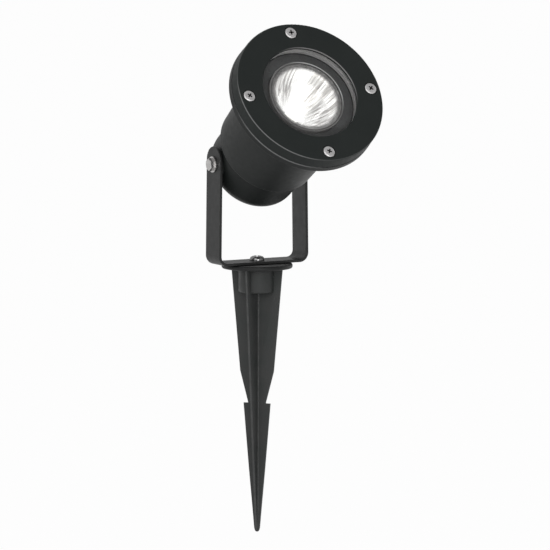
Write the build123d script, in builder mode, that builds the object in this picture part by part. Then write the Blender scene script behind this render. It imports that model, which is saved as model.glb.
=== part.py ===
from build123d import *
import os
from math import atan2, cos, degrees, radians, sin, sqrt

# Garden spotlight on a ground spike, in millimetres and degrees.
# The origin is the middle of the spike flange's underside, which stops at the soil.
# X runs along the tilt axis, the lamp looks towards -Y and up, and Z points up.

# Play between pieces
turning_play = 0.2        # between flat faces that turn on each other
pin_play = 0.08           # round a pivot screw in the hole that turns on it
fitting_play = 0.2        # round a piece that drops into its seat
thread_play = 0.05        # round a screw in its tapped hole

# Ground spike
spike_length = 165.0      # ground line to tip
blade_top = 16.5          # reach of a blade from the axis at the ground line
blade_tip = 1.3           # reach of a blade at the tip
blade_thickness = 2.2
web_top = 4.2             # reach of the web between blades at the ground line
barb_start = 64.5         # depth where a barbed blade starts to narrow
barb_depth = 84.6         # depth of the barb's shoulder
barb_neck = 5.4           # reach of the blade just above the shoulder
barb_reach = 8.45         # reach of the shoulder
blade_turn = 49.5         # turn of the blades from the yoke's own axes
flange_radius = 22.1
flange_thickness = 2.8
flange_round = 1.0
boss_radius = 11.25
boss_depth = 15.2
boss_round = 1.5

# Yoke screw and the nut caught in the spike's boss
yoke_screw_radius = 2.5
yoke_head_radius = 4.6
yoke_head_height = 3.2
yoke_head_edge = 0.6      # upright rim of the domed head
yoke_recess_reach = 2.5
yoke_recess_width = 1.1
yoke_recess_depth = 1.9
nut_flats = 8.0
nut_height = 4.0
nut_cover = 3.0           # boss left between the ground line and the nut
screw_stand = 1.5         # screw showing past its nut

# Yoke, bent from one steel strip
strip_width = 18.0
strip_thickness = 1.7
strip_round = 0.3         # rounding of the strip's edges
bend_radius = 6.0         # outside of the bend
arm_spread = 0.7          # each arm leans in by this from the base to the pivot
pivot_rise = 63.5         # pivot axis above the spike's flange
arm_end_rise = 2.2        # middle of the arm's round end above the pivot
pivot_bolt_radius = 2.0
pivot_bolt_flats = 7.0
pivot_bolt_head = 2.6
pivot_bolt_grip = 9.0     # thread held in the housing
pivot_bolt_crown = 3.2    # radius of the flat end of the bolt's head
pivot_bolt_bevel = 0.4    # height of the turned bevel round it
washer_radius = 5.0
washer_thickness = 0.8

# Lamp
lamp_radius = 25.0
lamp_rim_depth = 3.6
lamp_rim_step = 1.5       # bowl starts this far inside the rim
lamp_bowl_depth = 32.0    # rim to end of neck
lamp_neck_radius = 11.0
lamp_wall = 1.6
cover_glass_thickness = 1.2
cover_glass_set = 0.6     # cover glass behind the rim's edge
capsule_radius = 4.5
capsule_length = 19.0
pinch_radius = 2.6        # flat seal of the capsule, held in the base
base_cup_depth = 4.0
base_wall = 1.4
base_length = 14.0
pin_spacing = 10.0
pin_radius = 1.65
pin_head_radius = 2.5
pin_head_length = 2.0
pin_length = 7.0

# Front of the head
rest_tilt = 36.0          # beam above level
window_margin = 6.7       # bezel's hole beyond the lamp
glass_hold = 2.9          # glass beyond the bezel's hole
glass_thickness = 3.0
gasket_leg = 0.6          # leg of the gasket in front of the glass
gasket_seat = 2.4         # leg of the gasket behind the glass
gasket_wall = 0.8
gasket_hold = 2.2         # legs of the gasket over the glass
lip_thickness = 1.6
spigot_height = 1.4       # housing's ring inside the bezel
screw_land = 6.95         # bezel between the glass recess and its screw circle
screw_edge = 6.4          # bezel outside its screw circle
bezel_round = 0.9
window_chamfer = 0.5
bezel_screw_count = 4
bezel_screw_radius = 2.0
bezel_head_radius = 3.9
bezel_head_height = 2.0
bezel_head_round = 0.7
bezel_sink_depth = 1.4
bezel_recess_reach = 2.2
bezel_recess_width = 0.9
bezel_recess_depth = 1.3
lamp_gap = 0.3            # glass to lamp
lamp_stand = 2.5          # lamp's rim in front of its support ring
ring_thickness = 1.2
ring_collar = 1.0         # wall of the ring's collar
ring_collar_depth = 3.0

# Housing casting
housing_wall = 3.0
front_wall = 6.5          # wall at the flange, where the barrel is widest
lamp_air = 3.9            # air round the lamp
bore_draft = 0.6          # bore narrows by this towards the back
body_draft = 3.4          # barrel narrows by this towards the back
body_length = 55.7        # flange to step
body_step = 3.4           # barrel to domed back
body_round = 0.8          # rounding of the step's edge
head_flange_stand = 0.2   # flange proud of the bezel's rim
head_flange_thickness = 4.3
head_flange_edge = 0.5    # rounding of the flange's rim
head_flange_round = 1.2   # corner between flange and barrel
arm_clearance = 8.1       # yoke arm's edge to the step
rear_length = 20.6        # step to start of the rounded back
rear_round = 10.0         # rounding between the side and the domed end
rear_crown = 40.0         # radius of the domed end
pad_radius = 8.5
pad_stand = 0.3           # pivot pad proud of the dome
pad_spare = 3.0           # pad behind the bolt's end
pillar_radius = 3.5
pillar_inset = 2.0        # pillar clear of the wall

# Lamp holder, its bracket and the wiring
holder_radius = 14.0
holder_height = 16.0
holder_turn = 60.0        # twist that locks the lamp
contact_thickness = 0.5
bracket_width = 16.0
bracket_thickness = 1.2
bracket_end = 3.2         # bracket beyond its screws
small_screw_radius = 1.5
small_head_radius = 2.7
small_head_height = 1.8
small_screw_grip = 6.0
holder_screw_offset = 9.3
block_length = 14.0
block_width = 11.6
block_height = 12.0
terminal_screw_radius = 1.5
terminal_screw_spacing = 8.0
terminal_screw_sink = 1.0
lead_radius = 1.1
lead_bend = 3.5
lead_entry = 3.0          # lead inside the holder and the block
tag_radius = 3.1
tag_thickness = 0.6
tag_length = 8.0
tag_width = 3.0

# Cable gland
gland_radius = 6.0
gland_height = 5.5
gland_stem_radius = 5.0
gland_bore = 4.2
gland_seal_bore = 3.2
gland_seal_length = 8.0
gland_seat_radius = 8.0
gland_seat_stand = 0.5    # seat proud of the dome
gland_nut_flats = 13.0
gland_nut_height = 4.0
gland_nut_seat = 2.0      # pad inside the dome under the nut

# Stack from the ground up
strip_bottom = flange_thickness + turning_play
strip_top = strip_bottom + strip_thickness
yoke_head_seat = strip_top + turning_play
nut_top = -nut_cover
nut_bottom = nut_top - nut_height
yoke_screw_end = nut_bottom - screw_stand
pivot_height = flange_thickness + pivot_rise

# Head sizes outwards from the lamp
window_radius = lamp_radius + window_margin
glass_radius = window_radius + glass_hold
recess_radius = glass_radius + gasket_wall + 2 * fitting_play
screw_circle = recess_radius + screw_land
bezel_radius = screw_circle + screw_edge
head_flange_radius = bezel_radius + head_flange_stand
ring_radius = window_radius + fitting_play
body_bore = lamp_radius + lamp_air
body_front_radius = body_bore + front_wall
body_rear_radius = body_front_radius - body_draft
dome_radius = body_rear_radius - body_step
dome_bore = dome_radius - housing_wall
pad_face = dome_radius + pad_stand
arm_inside = pad_face + turning_play
arm_outside = arm_inside + strip_thickness
washer_face = arm_outside + turning_play
bolt_seat = washer_face + washer_thickness
bolt_end = pad_face - pivot_bolt_grip
pad_inner = bolt_end - pad_spare

# Stations along the beam, forward from the tilt axis
bezel_thickness = lip_thickness + gasket_leg + glass_thickness + gasket_seat + spigot_height
step_reach = strip_width / 2 + arm_clearance
rear_start = step_reach - rear_length
rear_ring = dome_radius - rear_round
crown_rise = sqrt((rear_crown - rear_round) ** 2 - rear_ring ** 2)
crown_centre = rear_start + crown_rise
crown_edge = degrees(atan2(crown_rise, rear_ring))
flange_back = step_reach + body_length
bezel_back = flange_back + head_flange_thickness
front_reach = bezel_back + bezel_thickness
lip_back = front_reach - lip_thickness
glass_front = lip_back - gasket_leg
glass_back = glass_front - glass_thickness
gasket_back = glass_back - gasket_seat
lamp_front = glass_back - lamp_gap
ring_front = lamp_front - lamp_stand
ring_back = ring_front - ring_thickness
rim_back = lamp_front - lamp_rim_depth
neck_end = lamp_front - lamp_bowl_depth
base_end = neck_end - base_length
holder_front = base_end - fitting_play
holder_back = holder_front - holder_height
slot_depth = pin_length - fitting_play + contact_thickness
bracket_back = holder_back - bracket_thickness
block_back = bracket_back - block_height
pillar_offset = dome_bore - pillar_inset - pillar_radius
pole = crown_centre - rear_crown
gland_seat = pole - gland_seat_stand
gland_nut_face = pole + housing_wall + gland_nut_seat
gland_stem_end = gland_nut_face + gland_nut_height + screw_stand

# Planes and axes of the tilted head and of its two sides
pivot = Vector(0, 0, pivot_height)
beam_direction = Vector(0, -cos(radians(rest_tilt)), sin(radians(rest_tilt)))
beam = Plane(origin=pivot, x_dir=(1, 0, 0), z_dir=beam_direction)
beam_axis = Axis(pivot, beam_direction)
section = Plane(origin=pivot, x_dir=(1, 0, 0), z_dir=-beam.y_dir)
sides = [Plane(origin=pivot, x_dir=beam_direction, z_dir=(way, 0, 0)) for way in (1, -1)]

os.makedirs("parts", exist_ok=True)

# Ground spike: flange, boss and four blades moulded in one
barb_start_reach = blade_top + (blade_tip - blade_top) * barb_start / spike_length
blade_way = Vector(0, -1, 0).rotate(Axis.Z, -blade_turn)
plain_blades = Plane(origin=(0, 0, 0), x_dir=blade_way, z_dir=(0, 0, 1))
plain_side = Plane(origin=(0, 0, 0), x_dir=blade_way, z_dir=-plain_blades.y_dir)
barbed_side = Plane(origin=(0, 0, 0), x_dir=plain_blades.y_dir, z_dir=blade_way)
tip_centre = spike_length - blade_tip
with BuildPart() as ground_spike:
    with BuildSketch(plain_side):
        with BuildLine():
            Polyline((0, 0), (blade_top, 0), (blade_tip, -tip_centre))
            CenterArc((0, -tip_centre), blade_tip, 0, -90)
            mirror(about=Plane.YZ)
        make_face()
    extrude(amount=blade_thickness / 2, both=True)
    with BuildSketch(barbed_side):
        with BuildLine():
            Polyline(
                (0, 0),
                (blade_top, 0),
                (barb_start_reach, -barb_start),
                (barb_neck, -barb_depth),
                (barb_reach, -barb_depth),
                (blade_tip, -tip_centre),
            )
            CenterArc((0, -tip_centre), blade_tip, 0, -90)
            mirror(about=Plane.YZ)
        make_face()
    extrude(amount=blade_thickness / 2, both=True)
    with BuildSketch(plain_blades):
        RegularPolygon(web_top, 4)
    with BuildSketch(plain_blades.offset(-tip_centre)):
        RegularPolygon(blade_tip, 4)
    loft(ruled=True)
    with BuildSketch(Plane.XZ):
        Rectangle(boss_radius, boss_depth, align=(Align.MIN, Align.MAX))
        fillet(vertices().group_by(Axis.Y)[0].sort_by(Axis.X)[-1], boss_round)
    revolve(axis=Axis.Z)
    with BuildSketch(Plane.XY):
        Circle(flange_radius)
    extrude(amount=flange_thickness)
    fillet(edges().filter_by(GeomType.CIRCLE).group_by(SortBy.RADIUS)[-1], flange_round)
    with BuildSketch(Plane.XY.offset(flange_thickness)):
        Circle(yoke_screw_radius + fitting_play)
    extrude(amount=yoke_screw_end - screw_stand - flange_thickness, mode=Mode.SUBTRACT)
    with BuildSketch(Plane.XY.offset(nut_top)):
        RegularPolygon(nut_flats / 2 + fitting_play, 6, major_radius=False)
        with Locations((0, boss_radius)):
            Rectangle(nut_flats + 2 * fitting_play, 2 * boss_radius)
    extrude(amount=-(nut_height + 2 * fitting_play), mode=Mode.SUBTRACT)
ground_spike.part.label = "ground_spike"
export_step(ground_spike.part, "parts/ground_spike.step")

# Yoke screw: domed pan head with a cross recess, shank down through the nut
with BuildPart() as yoke_screw:
    with BuildSketch(Plane.XZ):
        with BuildLine():
            Polyline(
                (0, yoke_head_seat + yoke_head_height),
                (0, yoke_screw_end),
                (yoke_screw_radius, yoke_screw_end),
                (yoke_screw_radius, yoke_head_seat),
                (yoke_head_radius, yoke_head_seat),
                (yoke_head_radius, yoke_head_seat + yoke_head_edge),
            )
            TangentArc(
                (0, yoke_head_seat + yoke_head_height),
                (yoke_head_radius, yoke_head_seat + yoke_head_edge),
                tangent=(1, 0),
            )
        make_face()
    revolve(axis=Axis.Z)
    with BuildSketch(Plane.XY.offset(yoke_head_seat + yoke_head_height)):
        Rectangle(2 * yoke_recess_reach, yoke_recess_width, rotation=blade_turn)
        Rectangle(yoke_recess_width, 2 * yoke_recess_reach, rotation=blade_turn)
    extrude(amount=-yoke_recess_depth, mode=Mode.SUBTRACT)
yoke_screw.part.label = "yoke_screw"
export_step(yoke_screw.part, "parts/yoke_screw.step")

# Nut caught in the boss
with BuildPart() as spike_nut:
    with BuildSketch(Plane.XY.offset(nut_top)):
        RegularPolygon(nut_flats / 2, 6, major_radius=False)
        Circle(yoke_screw_radius + thread_play, mode=Mode.SUBTRACT)
    extrude(amount=-nut_height)
spike_nut.part.label = "spike_nut"
export_step(spike_nut.part, "parts/spike_nut.step")

# Yoke: a strip bent into a U, with round arm ends and a hole at each pivot
arm_end_centre = pivot_height + arm_end_rise
arm_top = arm_end_centre + strip_width / 2
arm_lean = arm_spread / (pivot_height - strip_bottom)
foot_outside = arm_outside + arm_spread
top_outside = arm_outside - arm_lean * (arm_top - pivot_height)
foot_inside = arm_inside + arm_lean * (pivot_height - strip_top)
top_inside = arm_inside - arm_lean * (arm_top - pivot_height)
inner_bend = bend_radius - strip_thickness
with BuildPart() as yoke_bracket:
    with BuildSketch(Plane.XZ):
        with BuildLine():
            Polyline(
                (-foot_outside, strip_bottom),
                (foot_outside, strip_bottom),
                (top_outside, arm_top),
                (-top_outside, arm_top),
                close=True,
            )
        make_face()
        fillet(vertices().group_by(Axis.Y)[0], bend_radius)
        with BuildSketch(mode=Mode.PRIVATE) as inside:
            with BuildLine():
                Polyline(
                    (-foot_inside, strip_top),
                    (foot_inside, strip_top),
                    (top_inside, arm_top),
                    (-top_inside, arm_top),
                    close=True,
                )
            make_face()
            fillet(vertices().group_by(Axis.Y)[0], inner_bend)
        add(inside.sketch, mode=Mode.SUBTRACT)
    extrude(amount=strip_width / 2, both=True)
    with BuildSketch(Plane.YZ):
        with Locations((0, strip_bottom)):
            Rectangle(strip_width, arm_end_centre - strip_bottom, align=(Align.CENTER, Align.MIN))
        with Locations((0, arm_end_centre)):
            Circle(strip_width / 2)
    extrude(amount=foot_outside, both=True, mode=Mode.INTERSECT)
    strip_rims = faces().filter_by(Axis.Y).edges() + edges().filter_by(GeomType.ELLIPSE)
    fillet(strip_rims, strip_round)
    with BuildSketch(Plane.YZ):
        with Locations((0, pivot_height)):
            Circle(pivot_bolt_radius + pin_play)
    extrude(amount=foot_outside, both=True, mode=Mode.SUBTRACT)
    with BuildSketch(Plane.XY.offset(strip_bottom)):
        Circle(yoke_screw_radius + pin_play)
    extrude(amount=strip_thickness, mode=Mode.SUBTRACT)
yoke_bracket.part.label = "yoke_bracket"
export_step(yoke_bracket.part, "parts/yoke_bracket.step")

# Pivot bolts: hexagon heads outside the arms, shanks screwed into the housing's pads
bolt_top = bolt_seat + pivot_bolt_head
bolt_corner = pivot_bolt_flats / 2 / cos(radians(30)) + fitting_play
with BuildPart() as pivot_bolts:
    with BuildSketch(sides[0].offset(bolt_seat)):
        RegularPolygon(pivot_bolt_flats / 2, 6, major_radius=False)
    extrude(amount=pivot_bolt_head)
    with BuildSketch(section):
        with BuildLine():
            Polyline(
                (bolt_seat, 0),
                (bolt_seat, bolt_corner),
                (bolt_top - pivot_bolt_bevel, bolt_corner),
                (bolt_top, pivot_bolt_crown),
                (bolt_top, 0),
                close=True,
            )
        make_face()
    revolve(axis=Axis(pivot, (1, 0, 0)), mode=Mode.INTERSECT)
    with BuildSketch(sides[0].offset(bolt_end)):
        Circle(pivot_bolt_radius)
    extrude(amount=bolt_seat - bolt_end)
    mirror(about=Plane.YZ)
pivot_bolts.part.label = "pivot_bolts"
export_step(pivot_bolts.part, "parts/pivot_bolts.step")

# Plain washers under the bolt heads
with BuildPart() as pivot_washers:
    for side in sides:
        with BuildSketch(side.offset(washer_face)):
            Circle(washer_radius)
            Circle(pivot_bolt_radius + fitting_play, mode=Mode.SUBTRACT)
        extrude(amount=washer_thickness)
pivot_washers.part.label = "pivot_washers"
export_step(pivot_washers.part, "parts/pivot_washers.step")

# Core that shapes the inside of the housing casting
spigot_radius = recess_radius - fitting_play
bore_back = step_reach + housing_wall
with BuildPart() as housing_core:
    with BuildSketch(section):
        with BuildLine():
            CenterArc((0, crown_centre), rear_crown - housing_wall, -90, 90 - crown_edge)
            CenterArc((rear_ring, rear_start), rear_round - housing_wall, -crown_edge, crown_edge)
            Polyline(
                (dome_bore, rear_start),
                (dome_bore, bore_back),
                (body_bore - bore_draft, bore_back),
                (body_bore, ring_back),
                (ring_radius + fitting_play, ring_back),
                (ring_radius + fitting_play, gasket_back),
                (0, gasket_back),
                (0, pole + housing_wall),
            )
        make_face()
    revolve(axis=beam_axis)
    for side in sides:
        with BuildSketch(side.offset(pad_inner)):
            Circle(pad_radius)
        extrude(amount=pad_face - pad_inner, mode=Mode.SUBTRACT)
    with BuildSketch(beam.offset(bracket_back)):
        with Locations((0, pillar_offset), (0, -pillar_offset)):
            Circle(pillar_radius)
    extrude(amount=pole - bracket_back, mode=Mode.SUBTRACT)
    with BuildSketch(beam.offset(gland_nut_face)):
        Circle(gland_seat_radius)
    extrude(amount=-gland_seat_radius, mode=Mode.SUBTRACT)

# Head housing: flange, drafted barrel, step and domed back, with pivot pads and a gland seat
with BuildPart() as head_housing:
    with BuildSketch(section):
        with BuildLine():
            CenterArc((0, crown_centre), rear_crown, -90, 90 - crown_edge)
            CenterArc((rear_ring, rear_start), rear_round, -crown_edge, crown_edge)
            Polyline(
                (dome_radius, rear_start),
                (dome_radius, step_reach),
                (body_rear_radius, step_reach),
                (body_front_radius, flange_back),
                (head_flange_radius, flange_back),
                (head_flange_radius, bezel_back),
                (spigot_radius, bezel_back),
                (spigot_radius, gasket_back),
                (0, gasket_back),
                (0, pole),
            )
        make_face()
        barrel_corner = vertices().group_by(Axis.Y)[-3].sort_by(Axis.X)[0]
        fillet(barrel_corner, head_flange_round)
        step_corner = vertices().sort_by_distance((body_rear_radius, step_reach))[0]
        fillet(step_corner, body_round)
        flange_rim = vertices().group_by(Axis.X)[-1]
        fillet(flange_rim, head_flange_edge)
    revolve(axis=beam_axis)
    for side in sides:
        with BuildSketch(side.offset(pad_inner)):
            Circle(pad_radius)
        extrude(amount=pad_face - pad_inner)
    with BuildSketch(beam.offset(gland_seat)):
        Circle(gland_seat_radius)
    extrude(amount=gland_nut_face - gland_seat)
    add(housing_core.part, mode=Mode.SUBTRACT)
    for side in sides:
        with BuildSketch(side.offset(pad_face)):
            Circle(pivot_bolt_radius + thread_play)
        extrude(amount=-(pivot_bolt_grip + screw_stand), mode=Mode.SUBTRACT)
    with BuildSketch(beam.offset(bracket_back)):
        with Locations((0, pillar_offset), (0, -pillar_offset)):
            Circle(small_screw_radius + thread_play)
    extrude(amount=-(small_screw_grip + screw_stand), mode=Mode.SUBTRACT)
    with BuildSketch(beam.offset(bezel_back)):
        with PolarLocations(screw_circle, bezel_screw_count):
            Circle(bezel_screw_radius + thread_play)
    extrude(amount=-head_flange_thickness, mode=Mode.SUBTRACT)
    with BuildSketch(beam.offset(gland_seat)):
        Circle(gland_stem_radius + fitting_play)
    extrude(amount=gland_nut_face - gland_seat, mode=Mode.SUBTRACT)
head_housing.part.label = "head_housing"
export_step(head_housing.part, "parts/head_housing.step")

# Front bezel: a thick ring with a recess for the glass behind its lip and four sunk screw seats
with BuildPart() as front_bezel:
    with BuildSketch(section):
        with BuildLine():
            Polyline(
                (window_radius, front_reach),
                (bezel_radius, front_reach),
                (bezel_radius, bezel_back),
                (recess_radius, bezel_back),
                (recess_radius, lip_back),
                (window_radius, lip_back),
                close=True,
            )
        make_face()
        rim = vertices().group_by(Axis.X)[-1]
        fillet(rim, bezel_round)
        window_edge = vertices().group_by(Axis.X)[0].sort_by(Axis.Y)[-1]
        chamfer(window_edge, window_chamfer)
    revolve(axis=beam_axis)
    with BuildSketch(beam.offset(front_reach)):
        with PolarLocations(screw_circle, bezel_screw_count):
            Circle(bezel_head_radius + 2 * fitting_play)
    extrude(amount=-bezel_sink_depth, mode=Mode.SUBTRACT)
    with BuildSketch(beam.offset(front_reach)):
        with PolarLocations(screw_circle, bezel_screw_count):
            Circle(bezel_screw_radius + fitting_play)
    extrude(amount=-bezel_thickness, mode=Mode.SUBTRACT)
front_bezel.part.label = "front_bezel"
export_step(front_bezel.part, "parts/front_bezel.step")

# Bezel screws: four pan heads with cross recesses, each turned as it happened to stop
screw_seat = front_reach - bezel_sink_depth
with BuildPart() as bezel_screws:
    with BuildSketch(beam.offset(screw_seat)):
        with PolarLocations(screw_circle, bezel_screw_count):
            Circle(bezel_head_radius)
    extrude(amount=bezel_head_height)
    fillet(edges().group_by(beam_axis)[-1], bezel_head_round)
    with BuildSketch(beam.offset(flange_back)):
        with PolarLocations(screw_circle, bezel_screw_count):
            Circle(bezel_screw_radius)
    extrude(amount=screw_seat - flange_back)
    with BuildSketch(beam.offset(screw_seat + bezel_head_height)):
        with PolarLocations(screw_circle, bezel_screw_count):
            Rectangle(2 * bezel_recess_reach, bezel_recess_width)
            Rectangle(bezel_recess_width, 2 * bezel_recess_reach)
    extrude(amount=-bezel_recess_depth, mode=Mode.SUBTRACT)
bezel_screws.part.label = "bezel_screws"
export_step(bezel_screws.part, "parts/bezel_screws.step")

# Front glass
with BuildPart() as front_glass:
    with BuildSketch(beam.offset(glass_back)):
        Circle(glass_radius)
    extrude(amount=glass_thickness)
front_glass.part.label = "front_glass"
export_step(front_glass.part, "parts/front_glass.step")

# Glass gasket: a channel of soft rubber round the glass
gasket_radius = recess_radius - fitting_play
with BuildPart() as glass_gasket:
    with BuildSketch(section):
        with Locations((gasket_radius, gasket_back)):
            Rectangle(
                gasket_radius - glass_radius + gasket_hold,
                lip_back - gasket_back,
                align=(Align.MAX, Align.MIN),
            )
        with Locations((glass_radius + fitting_play, glass_back)):
            Rectangle(
                gasket_hold + fitting_play,
                glass_thickness,
                align=(Align.MAX, Align.MIN),
                mode=Mode.SUBTRACT,
            )
    revolve(axis=beam_axis)
glass_gasket.part.label = "glass_gasket"
export_step(glass_gasket.part, "parts/glass_gasket.step")

# Lamp support ring: a flat ring with a collar round the lamp's rim
ring_hole = lamp_radius + fitting_play
with BuildPart() as lamp_support_ring:
    with BuildSketch(section):
        with Locations((ring_hole, ring_front)):
            Rectangle(ring_radius - ring_hole, ring_thickness, align=(Align.MIN, Align.MAX))
            Rectangle(ring_collar, ring_thickness + ring_collar_depth, align=(Align.MIN, Align.MAX))
    revolve(axis=beam_axis)
lamp_support_ring.part.label = "lamp_support_ring"
export_step(lamp_support_ring.part, "parts/lamp_support_ring.step")

# Lamp reflector: a rim, a bowl and a neck, hollow right through
bowl_radius = lamp_radius - lamp_rim_step
cover_back = lamp_front - cover_glass_set - cover_glass_thickness
with BuildPart() as lamp_reflector:
    with BuildSketch(section):
        with BuildLine():
            Polyline(
                (lamp_radius, lamp_front),
                (lamp_radius, rim_back),
                (bowl_radius, rim_back),
            )
            TangentArc(
                (bowl_radius, rim_back),
                (lamp_neck_radius, neck_end + base_cup_depth),
                tangent=(0, -1),
            )
            Polyline(
                (lamp_neck_radius, neck_end + base_cup_depth),
                (lamp_neck_radius, neck_end),
                (lamp_neck_radius - lamp_wall, neck_end),
                (lamp_neck_radius - lamp_wall, neck_end + base_cup_depth),
            )
            TangentArc(
                (bowl_radius - lamp_wall, cover_back),
                (lamp_neck_radius - lamp_wall, neck_end + base_cup_depth),
                tangent=(0, -1),
            )
            Polyline(
                (bowl_radius - lamp_wall, cover_back),
                (bowl_radius, cover_back),
                (bowl_radius, lamp_front),
                (lamp_radius, lamp_front),
            )
        make_face()
    revolve(axis=beam_axis)
lamp_reflector.part.label = "lamp_reflector"
export_step(lamp_reflector.part, "parts/lamp_reflector.step")

# Lamp cover glass, set into the rim
with BuildPart() as lamp_cover_glass:
    with BuildSketch(beam.offset(cover_back)):
        Circle(bowl_radius - thread_play)
    extrude(amount=cover_glass_thickness)
lamp_cover_glass.part.label = "lamp_cover_glass"
export_step(lamp_cover_glass.part, "parts/lamp_cover_glass.step")

# Lamp capsule: a small round-ended glass with its pinch in the base
capsule_back = neck_end + base_cup_depth
with BuildPart() as lamp_capsule:
    with BuildSketch(section):
        with Locations((0, capsule_back)):
            Rectangle(capsule_radius, capsule_length, align=(Align.MIN, Align.MIN))
        capsule_nose = vertices().group_by(Axis.Y)[-1].sort_by(Axis.X)[-1]
        fillet(capsule_nose, capsule_radius - thread_play)
        with Locations((0, neck_end)):
            Rectangle(pinch_radius, base_cup_depth, align=(Align.MIN, Align.MIN))
    revolve(axis=beam_axis)
lamp_capsule.part.label = "lamp_capsule"
export_step(lamp_capsule.part, "parts/lamp_capsule.step")

# Lamp base: a ceramic cup that holds the reflector's neck
base_radius = lamp_neck_radius + fitting_play + base_wall
with BuildPart() as lamp_base:
    with BuildSketch(beam.offset(base_end)):
        Circle(base_radius)
    extrude(amount=base_length + base_cup_depth)
    with BuildSketch(beam.offset(neck_end)):
        Circle(lamp_neck_radius + fitting_play)
    extrude(amount=base_cup_depth, mode=Mode.SUBTRACT)
lamp_base.part.label = "lamp_base"
export_step(lamp_base.part, "parts/lamp_base.step")

# Lamp pins: two headed studs under the base
pin_places = [(pin_spacing / 2, 0), (-pin_spacing / 2, 0)]
with BuildPart() as lamp_pins:
    with BuildSketch(beam.offset(base_end)):
        with Locations(*pin_places):
            Circle(pin_radius)
    extrude(amount=-pin_length)
    with BuildSketch(beam.offset(base_end - pin_length)):
        with Locations(*pin_places):
            Circle(pin_head_radius)
    extrude(amount=pin_head_length)
lamp_pins.part.label = "lamp_pins"
export_step(lamp_pins.part, "parts/lamp_pins.step")

# Lamp holder: a ceramic puck with two curved slots that the pins turn into
lead_offset = block_length / 2 + lead_bend + lead_radius
slot_lines = [CenterArc((0, 0), pin_spacing / 2, start, holder_turn) for start in (0, 180)]
with BuildPart() as lamp_holder:
    with BuildSketch(beam.offset(holder_back)):
        Circle(holder_radius)
    extrude(amount=holder_height)
    with BuildSketch(beam.offset(holder_front)):
        for slot_line in slot_lines:
            SlotArc(slot_line, 2 * (pin_head_radius + fitting_play))
    extrude(amount=-slot_depth, mode=Mode.SUBTRACT)
    with BuildSketch(beam.offset(holder_back)):
        with Locations((0, holder_screw_offset), (0, -holder_screw_offset)):
            Circle(small_screw_radius + thread_play)
        with Locations((lead_offset, 0), (-lead_offset, 0)):
            Circle(lead_radius + thread_play)
    extrude(amount=small_screw_grip, mode=Mode.SUBTRACT)
lamp_holder.part.label = "lamp_holder"
export_step(lamp_holder.part, "parts/lamp_holder.step")

# Holder contacts: springs at the bottom of the slots, under the pins
with BuildPart() as holder_contacts:
    with BuildSketch(beam.offset(holder_front - slot_depth)):
        with Locations(*pin_places):
            Circle(pin_head_radius)
    extrude(amount=contact_thickness)
holder_contacts.part.label = "holder_contacts"
export_step(holder_contacts.part, "parts/holder_contacts.step")

# Holder bracket: a round-ended strap across the casting's two pillars
pillar_places = [(0, pillar_offset), (0, -pillar_offset)]
holder_screw_places = [(0, holder_screw_offset), (0, -holder_screw_offset)]
with BuildPart() as holder_bracket:
    with BuildSketch(beam.offset(bracket_back)):
        Rectangle(bracket_width, 2 * (pillar_offset + bracket_end))
        Circle(pillar_offset + bracket_end, mode=Mode.INTERSECT)
        with Locations(*pillar_places, *holder_screw_places, (0, 0)):
            Circle(small_screw_radius + thread_play, mode=Mode.SUBTRACT)
    extrude(amount=bracket_thickness)
holder_bracket.part.label = "holder_bracket"
export_step(holder_bracket.part, "parts/holder_bracket.step")

# Earth tag under one bracket screw
with BuildPart() as earth_tag:
    with BuildSketch(beam.offset(holder_back)):
        with Locations((0, -pillar_offset)):
            Circle(tag_radius)
            Rectangle(tag_length, tag_width, align=(Align.MIN, Align.CENTER))
            Circle(small_screw_radius + thread_play, mode=Mode.SUBTRACT)
    extrude(amount=tag_thickness)
earth_tag.part.label = "earth_tag"
export_step(earth_tag.part, "parts/earth_tag.step")

# Bracket screws: strap to pillars, one of them over the earth tag
with BuildPart() as bracket_screws:
    for place, seat in zip(pillar_places, (holder_back, holder_back + tag_thickness)):
        with BuildSketch(beam.offset(seat)):
            with Locations(place):
                Circle(small_head_radius)
        extrude(amount=small_head_height)
        with BuildSketch(beam.offset(bracket_back - small_screw_grip)):
            with Locations(place):
                Circle(small_screw_radius)
        extrude(amount=seat - bracket_back + small_screw_grip)
bracket_screws.part.label = "bracket_screws"
export_step(bracket_screws.part, "parts/bracket_screws.step")

# Holder screws: from behind the strap into the holder
with BuildPart() as holder_screws:
    with BuildSketch(beam.offset(bracket_back)):
        with Locations(*holder_screw_places):
            Circle(small_head_radius)
    extrude(amount=-small_head_height)
    with BuildSketch(beam.offset(bracket_back)):
        with Locations(*holder_screw_places):
            Circle(small_screw_radius)
    extrude(amount=bracket_thickness + small_screw_grip - thread_play)
holder_screws.part.label = "holder_screws"
export_step(holder_screws.part, "parts/holder_screws.step")

# Terminal block behind the strap, open at both ends for the leads
terminal_places = [(terminal_screw_spacing / 2, 0), (-terminal_screw_spacing / 2, 0)]
lead_level = block_back + block_height / 2
terminal_screw_length = block_height / 2 - lead_radius - thread_play - terminal_screw_sink
with BuildPart() as terminal_block:
    with BuildSketch(beam.offset(block_back)):
        Rectangle(block_length, block_width)
        Circle(small_screw_radius + thread_play, mode=Mode.SUBTRACT)
    extrude(amount=block_height)
    with BuildSketch(beam.offset(block_back)):
        with Locations(*terminal_places):
            Circle(terminal_screw_radius + thread_play)
    extrude(amount=terminal_screw_sink + terminal_screw_length, mode=Mode.SUBTRACT)
    for side in sides:
        with BuildSketch(side.offset(block_length / 2)):
            with Locations((lead_level, 0)):
                Circle(lead_radius + thread_play)
        extrude(amount=-lead_entry, mode=Mode.SUBTRACT)
terminal_block.part.label = "terminal_block"
export_step(terminal_block.part, "parts/terminal_block.step")

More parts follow.
